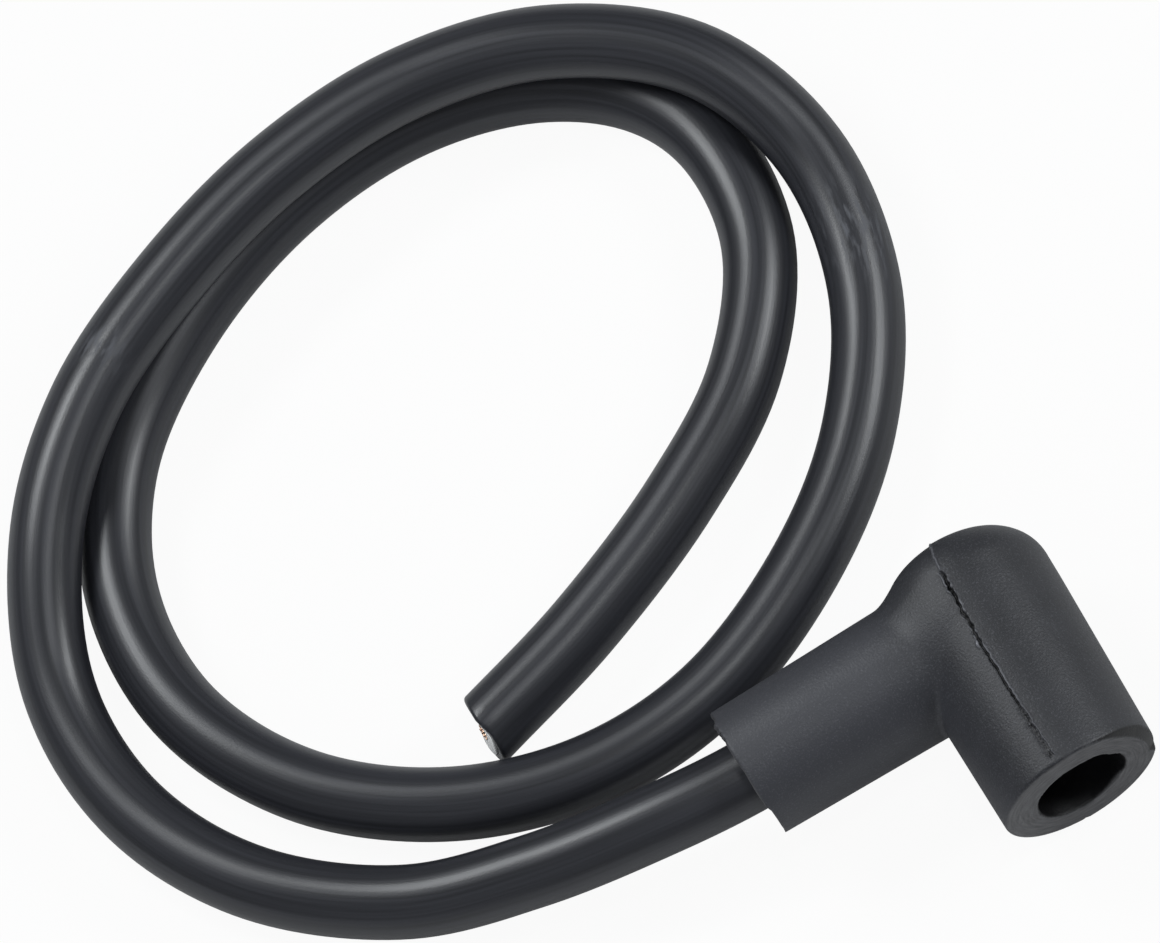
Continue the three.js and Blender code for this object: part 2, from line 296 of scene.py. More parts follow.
black_wall = wall(CABLE_RADIUS, INSULATION_RADIUS + LAYER_GAP, EDGE_ROUNDING)
jacket = swept("jacket", black_wall, JACKET_SIDES)
places = read_places(jacket.data)
scuffed = np.zeros(len(places))
for x, y, height, reach in SCUFFS:
    away = np.linalg.norm(places - (elbow.x + x * MM, elbow.y + y * MM, height * MM), axis=1)
    scuffed = np.maximum(scuffed, np.exp(-(away / (reach * MM)) ** 2))
store_numbers(jacket.data, "scuffed", scuffed)
white_wall = wall(INSULATION_RADIUS, CONDUCTOR_RADIUS + LAYER_GAP, INSULATION_EDGE)
insulation = swept("insulation", white_wall, INSULATION_SIDES, SQUEEZED_OUT)
print("jacket faces", len(jacket.data.polygons), "insulation faces", len(insulation.data.polygons))

# %% [markdown]
# ## Copper strands
# The conductor is nineteen thin wires laid round each other: one in the middle, six round it and twelve
# outside. Each keeps its own place in the bundle while the bundle turns along the cable. The blades
# leave their ends uneven.

# %% Make the strands
STRAND_RADIUS = 0.15 * MM
STRAND_LAYERS = [(1, 0.0), (6, 0.31 * MM), (12, 0.63 * MM)]
STRAND_PITCH = 24 * MM
STRAND_SIDES = 6
STRAND_STEP = 2 * MM
LAST_STEP = 0.4 * MM
BARED_LENGTH = 2 * MM
UNEVEN_ENDS = (-0.066 * MM, 0.22 * MM)

random = np.random.default_rng(19)


def strand(radius_in_bundle, phase, end):
    """One wire of the bundle, as rings, from the bared end in the boot to the cut."""
    along = np.append(np.arange(-BARED_LENGTH, end - STRAND_STEP, STRAND_STEP), [end - LAST_STEP, end])
    turn = phase + 2 * math.pi * along / STRAND_PITCH
    around = np.linspace(0, 2 * math.pi, STRAND_SIDES, endpoint=False)
    across = (radius_in_bundle * np.cos(turn))[:, None] + STRAND_RADIUS * np.cos(around)
    height = (radius_in_bundle * np.sin(turn))[:, None] + STRAND_RADIUS * np.sin(around)
    along = along[:, None] + 0 * around
    bared = np.minimum(along, 0)[..., None]
    return on_cable(cut_end(along, across, height, SQUEEZED_OUT), across, height) + bared * heading[0]


places, faces = [], []
for count, radius_in_bundle in STRAND_LAYERS:
    for wire in range(count):
        end = CABLE_LENGTH + random.uniform(*UNEVEN_ENDS)
        rings = strand(radius_in_bundle, 2 * math.pi * wire / count, end)
        base = sum(len(group) for group in places)
        flat = rings.reshape(-1, 3)
        faces += [tuple(base + corner for corner in face)
                  for face in grid_faces(len(rings), STRAND_SIDES, False)]
        faces.append(tuple(base + side for side in reversed(range(STRAND_SIDES))))
        faces.append(tuple(base + len(flat) - STRAND_SIDES + side for side in range(STRAND_SIDES)))
        places.append(flat)
strands = new_piece("copper_strands", np.vstack(places), faces)
strands.data.shade_flat()
print("strand faces", len(strands.data.polygons))

# %% [markdown]
# ## The new cable
# The imported model has a plain faceted cable, and these three layers take its place: the model's cable
# parts are hidden, and the layers join the root.

for piece, node, slot_name in (
    (jacket, "wire_jacket", "jacket_rubber"),
    (insulation, "wire_insulation", "insulation_white"),
    (strands, "wire_conductor", "conductor_copper"),
):
    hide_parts(node)
    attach(piece, "root")

# %% [markdown]
# ## The boot's rough shape
# The boot is one moulding: a tube that grips the cable and a domed socket that covers the plug. It is
# roughed out as a modeller would at the bench: two rods are joined, and three holes are cut, for the
# plug, the terminal and the cable. Then a fine even skin of small squares is laid over the whole, which
# can be shaped everywhere without creases.

# %% Rods, joined and bored
TUBE_RADIUS = 6.95 * MM
TUBE_MOUTH_RADIUS = 6.55 * MM
GRIP_RADIUS = 3.6 * MM
SOCKET_RADIUS = 8.0 * MM
DOME_HEIGHT = 8.6 * MM
DOME_ROUNDING = 4.7 * MM
PLUG_BORE_RADIUS = 4.7 * MM
BORE_END = 5.0 * MM
CHAMBER_RADIUS = 4.55 * MM
CHAMBER_REACH = 13.8 * MM
ROD_FACETS = 96
BEVEL_STEPS = 10
RIM_BAND = 1 * MM
HOLE_OVERRUN = 1 * MM
SKIN_STEP = 0.32 * MM


def make_active(piece):
    bpy.ops.object.select_all(action="DESELECT")
    piece.select_set(True)
    bpy.context.view_layer.objects.active = piece


def rod(name, radius, start, end):
    """A cylinder from one place to another, measured from the elbow."""
    bpy.ops.object.select_all(action="DESELECT")
    turn = (end - start).to_track_quat("Z", "Y").to_euler()
    bpy.ops.mesh.primitive_cylinder_add(vertices=ROD_FACETS, radius=radius, depth=(end - start).length,
                                        location=elbow + (start + end) / 2, rotation=turn)
    piece = bpy.context.object
    piece.name = name
    bpy.ops.object.transform_apply(location=True, rotation=True, scale=True)
    return piece


def select_in_edit(piece, wanted):
    """Opens the piece in edit mode with only the edges whose ends the test accepts selected."""
    make_active(piece)
    bpy.ops.object.mode_set(mode="EDIT")
    bpy.ops.mesh.select_mode(type="EDGE")
    bpy.ops.mesh.select_all(action="DESELECT")
    mesh = bmesh.from_edit_mesh(piece.data)
    for edge in mesh.edges:
        edge.select_set(all(wanted(corner.co - elbow) for corner in edge.verts))
    bmesh.update_edit_mesh(piece.data)


def combine(piece, other, operation):
    """Joins or cuts one piece with another, which is used up."""
    make_active(piece)
    modifier = piece.modifiers.new("combine", "BOOLEAN")
    modifier.operation = operation
    modifier.solver = "EXACT"
    modifier.object = other
    bpy.ops.object.modifier_apply(modifier=modifier.name)
    bpy.data.objects.remove(other)


def lay_skin(piece):
    """Covers the piece with an even skin of small squares."""
    make_active(piece)
    modifier = piece.modifiers.new("skin", "REMESH")
    modifier.mode = "VOXEL"
    modifier.voxel_size = SKIN_STEP
    modifier.use_smooth_shade = True
    bpy.ops.object.modifier_apply(modifier=modifier.name)


boot = rod("rubber_boot", SHOULDER_RADIUS, Vector((0, -SOCKET_REACH, 0)), Vector((0, DOME_HEIGHT, 0)))
select_in_edit(boot, lambda place: place.y > DOME_HEIGHT - RIM_BAND)
bpy.ops.mesh.bevel(offset=DOME_ROUNDING, segments=BEVEL_STEPS, affect="EDGES")
bpy.ops.object.mode_set(mode="OBJECT")
select_in_edit(boot, lambda place: place.y < RIM_BAND - SOCKET_REACH)
narrowing = SOCKET_RADIUS / SHOULDER_RADIUS
bpy.ops.transform.resize(value=(narrowing, 1, narrowing), center_override=elbow)
bpy.ops.object.mode_set(mode="OBJECT")

at_elbow = Vector((0, 0, 0))
tube = rod("tube", TUBE_RADIUS, at_elbow, Vector((-TUBE_REACH, 0, 0)))
plug_hole = rod("plug_hole", PLUG_BORE_RADIUS, Vector((0, BORE_END, 0)),
                Vector((0, -SOCKET_REACH - HOLE_OVERRUN, 0)))
chamber = rod("chamber", CHAMBER_RADIUS, at_elbow, Vector((-CHAMBER_REACH, 0, 0)))
cable_hole = rod("cable_hole", GRIP_RADIUS, at_elbow, Vector((-TUBE_REACH - HOLE_OVERRUN, 0, 0)))
combine(boot, tube, "UNION")
for hole in (plug_hole, chamber, cable_hole):
    combine(boot, hole, "DIFFERENCE")
lay_skin(boot)
print("boot skin faces", len(boot.data.polygons))

# %% [markdown]
# ## The boot's true form
# The round shapes, the taper and the fillet are written as a rule that tells how far a point lies from
# the rubber's surface. Two rules joined with a rounding make the fillet where the tube runs into the
# socket: widest between the side and the dome, and almost sharp towards the open end, as the mould left
# it. Every vertex then slides down the slope of the rule until it lies on the surface.
#
# Both ends were trimmed by hand, so they lean a little. A knife took a bevel off part of the open end's
# rim, the bore's mouth is uneven, and the tube's mouth is torn along its outer edge. Three tables say so,
# each in degrees round its axis and millimetres. The skin is divided once more at the two ends, and
# again along the torn edge.

# %% Ease the skin onto the form
RIM_ROUNDING = 0.35 * MM
MOUTH_ROUNDING = 0.06 * MM
BORE_RIM_ROUNDING = 0.15 * MM
SHARP_ROUNDING = 0.08 * MM
BORE_END_ROUNDING = 1.5 * MM
DOME_CROWN = 0.15 * MM
SHOULDER_BELOW_DOME = 7.5 * MM
FILLETS = {-1.0: 0.35 * MM, -0.5: 0.7 * MM, 0.0: 1.5 * MM, 0.5: 2.0 * MM, 0.8: 1.3 * MM, 1.0: 0.9 * MM}
TUBE_LIFT = 0.3 * MM
MOUTH_LEAN = math.tan(math.radians(4.5))
FACE_LEAN = math.tan(math.radians(3.4))
FACE_SKEW = math.tan(math.radians(1))
FACE_REACH = 18.4 * MM
FAR_SIDE_SWELL = 1.02
TINY = 0.001 * MM
EASE_ROUNDS = 4
LEAST_STEEPNESS = 0.2
PARED_SLOPE = 1.3
PARED_EDGE = {0: 0.8, 25: 0.85, 45: 0.55, 70: 0, 90: -0.5, 180: -0.5, 340: -0.4, 347: 0.7}
BORE_EDGE_DEPTH = 2 * MM
BORE_EDGE = {0: 0, 20: 0.05, 38: -0.12, 50: 0.15, 60: 0.2, 75: 0, 100: 0, 150: -0.15, 180: -0.3,
             200: -0.1, 225: 0.2, 250: 0.2, 275: 0.1, 290: -0.15, 310: -0.45, 325: -0.35, 335: 0.05}
MOUTH_TORN_FROM = 4.6 * MM
MOUTH_EDGE = {0: 0, 25: 0.14, 36: 0.12, 42: 0, 47: -0.14, 52: 0.05, 56: 0.34, 59: 0.3, 61.5: 0.06,
              65: 0.38, 68.5: 0, 73: 0.16, 77: -0.06, 82: 0.06, 95: 0.04, 112: -0.06, 130: 0.07,
              147: 0.12, 154: -0.15, 166: -0.12, 180: 0, 195: 0.08, 205: 0.25, 215: 0.1, 280: 0}
MOUTH_BAND = 1 * MM
FACE_BAND = 1.2 * MM
TORN_DEPTH = 0.6 * MM
TORN_WIDTH = 0.8 * MM


def both(first, second, rounding):
    """The form where two forms overlap, with a rounded outer edge."""
    edge = np.hypot(np.maximum(first + rounding, 0), np.maximum(second + rounding, 0))
    return np.minimum(-rounding, np.maximum(first, second)) + edge


def either(first, second, rounding):
    """Two forms joined, with a fillet in the corner between them."""
    corner = np.hypot(np.maximum(rounding - first, 0), np.maximum(rounding - second, 0))
    return np.maximum(rounding, np.minimum(first, second)) - corner


def round_the_turn(table, first, second):
    """Reads a table of degrees and millimetres at the angle of each place about an axis."""
    angle = np.degrees(np.arctan2(second, first)) % 360
    return np.interp(angle, list(table), np.array(list(table.values())) * MM, period=360)


def face_gap(x, y, z):
    """Distance past the plane in which the open end was trimmed."""
    return -FACE_REACH - y - FACE_LEAN * z + FACE_SKEW * x


def mouth_gap(x, y, z):
    """Distance past the trimmed end of the tube, which is torn along its outer edge."""
    outer = np.clip((np.hypot(y, z) - MOUTH_TORN_FROM) / (TUBE_MOUTH_RADIUS - MOUTH_TORN_FROM), 0, 1)
    return -TUBE_REACH - x - MOUTH_LEAN * z - outer * round_the_turn(MOUTH_EDGE, y, z)


def pared_gap(x, y, z):
    """Distance past the bevel that a knife left on part of the open end's rim."""
    past_edge = np.hypot(x, z) - SOCKET_RADIUS + round_the_turn(PARED_EDGE, x, z)
    return (past_edge + PARED_SLOPE * face_gap(x, y, z)) / math.hypot(1, PARED_SLOPE)


def boot_form(places):
    """Distance of each place from the rubber's surface, less than zero inside the rubber."""
    x, y, z = (places - np.array(elbow)).T
    off_socket = np.hypot(np.where(x > 0, x / FAR_SIDE_SWELL, x), z)
    off_tube = np.hypot(y, z)
    taper = np.clip((y + SOCKET_REACH) / (SOCKET_REACH + DOME_HEIGHT - SHOULDER_BELOW_DOME), 0, 1)
    socket_side = off_socket - SOCKET_RADIUS - (SHOULDER_RADIUS - SOCKET_RADIUS) * taper
    crown = DOME_CROWN * np.minimum(off_socket / (SHOULDER_RADIUS - DOME_ROUNDING), 1) ** 2
    socket = both(socket_side, y - DOME_HEIGHT + crown, DOME_ROUNDING)
    past_face = face_gap(x, y, z)
    socket = both(socket, past_face, RIM_ROUNDING)
    socket = both(socket, pared_gap(x, y, z), SHARP_ROUNDING)
    off_tube_outside = np.hypot(y - TUBE_LIFT, z)
    tube_taper = np.clip(-x / TUBE_REACH, 0, 1)
    tube_side = off_tube_outside - TUBE_RADIUS - (TUBE_MOUTH_RADIUS - TUBE_RADIUS) * tube_taper
    tube_form = both(tube_side, mouth_gap(x, y, z), MOUTH_ROUNDING)
    towards_dome = y / np.maximum(off_tube, TINY)
    fillet = reading(FILLETS, towards_dome)
    outside = either(socket, np.maximum(tube_form, x), fillet)
    near_face = np.clip(1 + past_face / BORE_EDGE_DEPTH, 0, 1)
    bore_side = off_socket - PLUG_BORE_RADIUS - round_the_turn(BORE_EDGE, x, z) * near_face
    plug_form = both(bore_side, y - BORE_END, BORE_END_ROUNDING)
    chamber_form = np.maximum(off_tube - CHAMBER_RADIUS, -CHAMBER_REACH - x)
    cable_form = np.maximum(np.minimum(off_tube - GRIP_RADIUS, chamber_form), x)
    return both(outside, -np.minimum(plug_form, cable_form), BORE_RIM_ROUNDING)


def distance_and_slope(places):
    """How far each place lies from the surface, and the direction in which that grows."""
    away = boot_form(places)
    slope = np.stack([(boot_form(places + step) - away) / TINY for step in np.eye(3) * TINY], axis=1)
    return away, slope


def ease_onto_form(piece):
    """Slides every vertex along the form's slope until it lies on the surface."""
    places = read_places(piece.data)
    for _ in range(EASE_ROUNDS):
        away, slope = distance_and_slope(places)
        steepness = np.maximum((slope**2).sum(axis=1), LEAST_STEEPNESS)
        places -= slope * (away / steepness)[:, None]
    write_places(piece.data, places)


def cut_finer(piece, wanted, cuts):
    """Divides the small squares again where the test accepts their corners."""
    select_in_edit(piece, wanted)
    bpy.ops.mesh.subdivide(number_cuts=cuts)
    bpy.ops.object.mode_set(mode="OBJECT")


def near_an_edge(place):
    """Close to the trimmed mouth of the tube, or to the open end of the socket."""
    return place.x < MOUTH_BAND - TUBE_REACH or place.y < FACE_BAND - FACE_REACH


def on_torn_edge(place):
    """Along the outer edge of the tube's mouth, where the rubber tore."""
    return (place.x < TORN_DEPTH - TUBE_REACH
            and math.hypot(place.y, place.z) > TUBE_MOUTH_RADIUS - TORN_WIDTH)


ease_onto_form(boot)
lay_skin(boot)
ease_onto_form(boot)
for wanted in (near_an_edge, on_torn_edge):
    cut_finer(boot, wanted, 1)
    ease_onto_form(boot)
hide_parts("boot")
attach(boot, "root")
print("boot skin faces", len(boot.data.polygons))

# %% [markdown]
# ## The parting line
# The mould's two halves met in a plane just short of the elbow. The halves didn't match quite, so there
# is a small step, and rubber that crept between them was torn off roughly. The line runs clean over the
# dome, torn with a groove beside the shoulder, and blotchy near the open end. It can be written as a few
# ridges and grooves side by side, each with a height, a place across the line and a width in
# millimetres, and some with a height and a place that vary along it. Tables say where along the socket
# each stretch begins and ends. This is a sum that is easy to change, which a sculpted line isn't.

# %% The stretches of the parting line
PARTING_PLANE = {-18.7: -0.82, -16: -1.07, -13: -1.06, -4.4: -1.18, 2.4: -0.95, 5: -0.8, 8.2: -0.45}
LINE_SWAY = 0.08
LINE_SEED = 5
CLEAN_STRETCH = {3.2: 0, 4.2: 1}
TORN_STRETCH = {-4.8: 0, -4.3: 1, 3.2: 1, 4.2: 0}
BLOTCHY_STRETCH = {-12.5: 1, -11: 0}
INNER_FLASH_PLACE = {-4.5: -0.2, -1.5: -0.12, 4.2: -0.33}
PLAINER_BELOW = {-6: 0.4, 0: 1}
STEP_STRETCH = {-6: 0.3, 4: 1}
STEP_HEIGHT = 0.14 * MM
STEP_WIDTH = 0.08
STEP_FADES = {-1: 1, 7: 0}
KNOTS = 400
KNOT_SPACING = 0.35 * MM


def parting_place(y):
    """Where the parting line crosses, along the tube's axis."""
    return reading(PARTING_PLANE, y / MM) * MM


def wander(along, seed, spacing=KNOT_SPACING):
    """A smooth uneven line between -1 and 1, the same on every run."""
    knots = np.random.default_rng(seed).uniform(-1, 1, KNOTS)
    return np.interp(along / spacing + KNOTS / 2, np.arange(KNOTS), knots)


def ridge(offset, height, middle, width):
    """A ridge across the line, or a groove where its height is less than nought."""
    return height * np.exp(-((offset - middle) / width) ** 2)


def uneven_ridge(offset, along, height, uneven, middle, sway, width, seed):
    """A ridge or groove whose height and place vary along the line."""
    varied_height = height + uneven * wander(along, seed)
    varied_middle = middle + sway * wander(along, seed + 1)
    return ridge(offset, varied_height, varied_middle, width)


print("clean line over the dome from", min(CLEAN_STRETCH), "mm past the elbow")

# %% Its ridges, grooves and step
OUTER_FLASH = {"height": 0.112, "uneven": 0.096, "middle": 0.19, "sway": 0.06, "width": 0.1, "seed": 6}
INNER_FLASH = {"height": 0.09, "uneven": 0.105, "sway": 0.05, "width": 0.08, "seed": 8}
TORN_GROOVE = {"height": -0.34, "uneven": -0.17, "middle": 0.02, "sway": 0.08, "width": 0.15, "seed": 10}
PLAIN_GROOVE = {"height": -0.28, "uneven": -0.112, "middle": 0, "sway": 0, "width": 0.1, "seed": 12}
PLAIN_RIDGE = {"height": 0.12, "middle": 0.19, "width": 0.1}
CLEAN_RIDGE = {"height": 0.13, "middle": 0, "width": 0.09}
BLOTCHY_RIDGE = {"height": 0.07, "middle": 0.3, "width": 0.08}
FLAP = {"height": 0.28, "middle": -0.26, "width": 0.13}
FLAP_ALONG = {"height": 1, "middle": -4.35, "width": 0.3}
BLOTCH_WAVES = [{"slant": 3, "seed": 13, "size": 0.2 * MM}, {"slant": -3, "seed": 14, "size": 0.25 * MM}]
BLOTCH_HEIGHT = 0.26
BLOTCH_SINK = 0.1
BLOTCH_BAND = {"middle": -0.05, "width": 0.28}


def parting_relief(x, y, z):
    """Heights above the smooth form: of the parting line's ridges and grooves, and of its step."""
    offset = (x - parting_place(y)) / MM + LINE_SWAY * wander(y - z, LINE_SEED)
    clean, torn, blotchy = (reading(stretch, y / MM)
                            for stretch in (CLEAN_STRETCH, TORN_STRETCH, BLOTCHY_STRETCH))
    inner_flash = uneven_ridge(offset, y, middle=reading(INNER_FLASH_PLACE, y / MM), **INNER_FLASH)
    torn_line = uneven_ridge(offset, y, **OUTER_FLASH) + inner_flash + uneven_ridge(offset, y, **TORN_GROOVE)
    plain_line = ridge(offset, **PLAIN_RIDGE) + uneven_ridge(offset, y, **PLAIN_GROOVE)
    blotches = math.prod(wander(y + wave["slant"] * x, wave["seed"], wave["size"]) for wave in BLOTCH_WAVES)
    blotchy_line = ridge(offset, BLOTCH_HEIGHT * blotches - BLOTCH_SINK, **BLOTCH_BAND)
    blotchy_line += ridge(offset, **BLOTCHY_RIDGE)
    relief = clean * ridge(offset, **CLEAN_RIDGE) + torn * torn_line + blotchy * blotchy_line
    relief += (1 - clean - torn - blotchy) * plain_line
    relief += ridge(y / MM, **FLAP_ALONG) * ridge(offset, **FLAP)
    relief *= reading(PLAINER_BELOW, z / MM) * MM
    share = np.clip(offset / STEP_WIDTH + 0.5, 0, 1) * reading(STEP_FADES, x / MM)
    return relief, STEP_HEIGHT * share * reading(STEP_STRETCH, y / MM)


print("the clean ridge is", CLEAN_RIDGE["height"], "mm high, the torn groove about",
      -TORN_GROOVE["height"], "mm deep")

# %% [markdown]
# ## Raising the line
# The skin is divided finely along the line first. Then each vertex of the socket's outside moves along
# the surface's slope by the height that was worked out. Each vertex also keeps what was done to the
# rubber there, for the material to use: trimmed flat, pared with a knife, cored in the mould, or torn.
# The attribute "turned" is its distance from the socket's axis, its way round and its height, for rings.

# %% Raise the parting line and mark the worked surfaces
FINE_BAND = 0.75 * MM
FINE_CUTS = 3
HOLE_MARGIN = 1 * MM
WALL_FADES_IN = {1.5: 0, 2.5: 1}
DOME_FADES_IN = {1: 0, 2: 1}
END_FADES_IN = {0.25: 0, 0.55: 1}
FACE_FADE = 0.06 * MM
BEVEL_FADE = 0.08 * MM
MOUTH_FADE = 0.1 * MM
BEVEL_REACH = 2 * MM
CORED_MARGIN = 0.5 * MM
FULLY_TORN = 0.25 * MM


def on_outside(x, y, z):
    """One on the outside, where the mould's halves met, and nought in the holes and at the open end."""
    side = reading(WALL_FADES_IN, (np.hypot(x, z) - PLUG_BORE_RADIUS) / MM)
    dome = reading(DOME_FADES_IN, (y - BORE_END) / MM)
    return np.maximum(side, dome) * reading(END_FADES_IN, (y + FACE_REACH) / MM)


def near_parting(place):
    """Close to the parting line, and not in the plug's bore."""
    past_wall = math.hypot(place.x, place.z) > PLUG_BORE_RADIUS + HOLE_MARGIN
    past_bore = place.y > BORE_END + HOLE_MARGIN
    return abs(place.x - parting_place(place.y)) < FINE_BAND and (past_wall or past_bore)


def just_under(gap, fade):
    """One at a trimmed surface, and nought a little way under it."""
    return np.clip(1.5 + gap / fade, 0, 1)


cut_finer(boot, near_parting, FINE_CUTS)
ease_onto_form(boot)
places = read_places(boot.data)
x, y, z = (places - np.array(elbow)).T
slope = distance_and_slope(places)[1]
slope /= np.linalg.norm(slope, axis=1)[:, None]
relief, step = parting_relief(x, y, z)
places += slope * ((relief + step) * on_outside(x, y, z))[:, None]
write_places(boot.data, places)

off_axis = np.hypot(x, z)
at_face = just_under(face_gap(x, y, z), FACE_FADE) * (off_axis > PLUG_BORE_RADIUS - HOLE_MARGIN)
at_bevel = just_under(pared_gap(x, y, z), BEVEL_FADE) * (1 - at_face) * (y < BEVEL_REACH - FACE_REACH)
at_mouth = just_under(mouth_gap(x, y, z), MOUTH_FADE)
in_bore = (off_axis < PLUG_BORE_RADIUS + CORED_MARGIN) * (y < BORE_END + CORED_MARGIN)
store_numbers(boot.data, "trimmed", np.maximum(at_face, at_mouth))
store_numbers(boot.data, "pared", at_bevel)
store_numbers(boot.data, "cored", in_bore * (1 - at_face))
store_numbers(boot.data, "torn", relief * on_outside(x, y, z) / FULLY_TORN)
store_numbers(boot.data, "turned", np.stack([off_axis, np.arctan2(z, x) * SOCKET_RADIUS, y], axis=1))
boot.data.calc_loop_triangles()
print("boot triangles with its parting line", len(boot.data.loop_triangles))

# %% [markdown]
# ## Materials
# One helper adds a node, sets its values and links it. Colours are written as they would be read from a
# colour chart, in sRGB, and turned to the linear values that light is worked out in. Real streaks and
# grain on rubber are finer than these, which are drawn as coarse as the picture needs to show them.

# %% Node and colour helpers
def colour(hexadecimal):
    """Linear colour of an sRGB hex value such as '#2b2c2f'."""
    channels = [int(hexadecimal[place:place + 2], 16) / 255 for place in (1, 3, 5)]
    linear = [c / 12.92 if c <= 0.04045 else ((c + 0.055) / 1.055) ** 2.4 for c in channels]
    return (*linear, 1)


def add_node(tree, kind, values=None, links=None, stops=(), **settings):
    """Adds a node with its settings, its sockets' values, what feeds them, and a ramp's colour stops."""
    node = tree.nodes.new("ShaderNode" + kind)
    for name, value in settings.items():
        setattr(node, name, value)
    for number, (position, shade) in enumerate(stops):
        node.color_ramp.elements[number].position = position
        node.color_ramp.elements[number].color = colour(shade)
    for socket, value in (values or {}).items():
        node.inputs[socket].default_value = value
    for socket, source in (links or {}).items():
        tree.links.new(source, node.inputs[socket])
    return node


def new_material(name):
    made = bpy.data.materials.new(name)
    made.use_nodes = True
    tree = made.node_tree
    return made, tree, tree.nodes["Principled BSDF"]


def wear(piece, material):
    piece.data.materials.clear()
    piece.data.materials.append(material)


print("helpers ready")

# %% [markdown]
# ### Extruded jacket rubber
# EPDM rubber comes out of a polished die, so the jacket is satin with faint streaks along it, where the
# die dragged. The streaks are drawn in the straight cable's space. Fine grain breaks up the highlights,
# and pale dull marks show where the jacket was rubbed.

# %% Jacket material
STREAK_WIDTH = 0.45 * MM
STREAK_LENGTH = 30 * MM
GRAIN_WIDTH = 0.18 * MM
MARK_LENGTH = 2.5 * MM
MARK_WIDTH = 0.5 * MM
GRAIN_SHARE = 0.7
RUBBED_DULLER = 0.3

jacket_rubber, tree, surface = new_material("extruded_epdm_rubber")
straight = add_node(tree, "Attribute", attribute_name="straight")
streak_place = add_node(tree, "Mapping", {"Scale": (1 / STREAK_LENGTH, 1 / STREAK_WIDTH, 1 / STREAK_WIDTH)},
                        {"Vector": straight.outputs["Vector"]})
streaks = add_node(tree, "TexNoise", {"Scale": 1.0, "Detail": 3.0},
                   {"Vector": streak_place.outputs["Vector"]})
grain = add_node(tree, "TexNoise", {"Scale": 1 / GRAIN_WIDTH, "Detail": 2.0},
                 {"Vector": straight.outputs["Vector"]})
tone = add_node(tree, "ValToRGB", links={"Fac": streaks.outputs["Fac"]},
                stops=((0.35, "#212226"), (0.65, "#2c2d32")))
scuffed = add_node(tree, "Attribute", attribute_name="scuffed")
mark_place = add_node(tree, "Mapping", {"Scale": (1 / MARK_LENGTH, 1 / MARK_WIDTH, 1 / MARK_WIDTH)},
                      {"Vector": straight.outputs["Vector"]})
marks = add_node(tree, "TexNoise", {"Scale": 1.0, "Detail": 4.0}, {"Vector": mark_place.outputs["Vector"]})
mark_edge = add_node(tree, "MapRange", {"From Min": 0.48, "From Max": 0.66}, {"Value": marks.outputs["Fac"]})
rubbed = add_node(tree, "Math", links={0: mark_edge.outputs["Result"], 1: scuffed.outputs["Fac"]},
                  operation="MULTIPLY")
worn_tone = add_node(tree, "MixRGB", {"Color2": colour("#4e5056")},
                     {"Fac": rubbed.outputs[0], "Color1": tone.outputs["Color"]})
sheen = add_node(tree, "MapRange", {"To Min": 0.3, "To Max": 0.43}, {"Value": streaks.outputs["Fac"]})
worn_sheen = add_node(tree, "Math", {1: RUBBED_DULLER},
                      {0: rubbed.outputs[0], 2: sheen.outputs["Result"]}, operation="MULTIPLY_ADD")
relief = add_node(tree, "Math", {1: GRAIN_SHARE}, {0: grain.outputs["Fac"], 2: streaks.outputs["Fac"]},
                  operation="MULTIPLY_ADD")
bump = add_node(tree, "Bump", {"Strength": 0.35, "Distance": 0.03 * MM}, {"Height": relief.outputs[0]})
tree.links.new(worn_tone.outputs["Color"], surface.inputs["Base Color"])
tree.links.new(worn_sheen.outputs[0], surface.inputs["Roughness"])
tree.links.new(bump.outputs["Normal"], surface.inputs["Normal"])
wear(jacket, jacket_rubber)

# %% [markdown]
# ### Moulded boot rubber
# The boot is filled silicone or EPDM from a sand-blasted mould: matte charcoal, with a fine even grain
# and fine pale dust. The tube is painted paler than the socket, as painted light that stands in for
# light falling on it. The trimmed ends are paler still, with faint rings where the blade went round.
# The knife's bevel and the bore are painted almost black, as painted shade. Along the parting line the
# groove is painted dark, as painted shade, and its ridges are painted pale, as painted highlights.

# %% Boot material
MOULD_GRAIN = 0.22 * MM
DUST_SIZE = 0.16 * MM
CLOUD_SIZE = 5 * MM
CLOUD_SHARE = 0.6
# Where the tube's painted light begins and where it is full, measured from the elbow along the tube.
PAINTED_LIGHT_FROM = 4 * MM
PAINTED_LIGHT_FULL = 15 * MM
RING_WIDTH = 0.25 * MM
RING_LENGTH = 2.5 * MM
# How strongly the parting line's grooves take the painted shade, and its ridges the painted highlight.
GROOVE_PAINTED_SHADE = -1.2
RIDGE_PAINTED_HIGHLIGHT = 1.1

boot_rubber, tree, surface = new_material("moulded_charcoal_rubber")
place = add_node(tree, "TexCoord")
grain = add_node(tree, "TexNoise", {"Scale": 1 / MOULD_GRAIN, "Detail": 3.0},
                 {"Vector": place.outputs["Object"]})
clouds = add_node(tree, "TexNoise", {"Scale": 1 / CLOUD_SIZE, "Detail": 4.0},
                  {"Vector": place.outputs["Object"]})
along_tube = add_node(tree, "SeparateXYZ", links={"Vector": place.outputs["Object"]})
# Painted light: the tube is painted paler than the socket, from a little past the elbow out to its mouth.
tube_painted_light = add_node(tree, "MapRange", {"From Min": elbow.x - PAINTED_LIGHT_FROM, "From Max": elbow.x - PAINTED_LIGHT_FULL},
                 {"Value": along_tube.outputs["X"]})
clouds_and_painted_light = add_node(tree, "Math", {1: CLOUD_SHARE}, {0: clouds.outputs["Fac"], 2: tube_painted_light.outputs["Result"]},
                 operation="MULTIPLY_ADD")
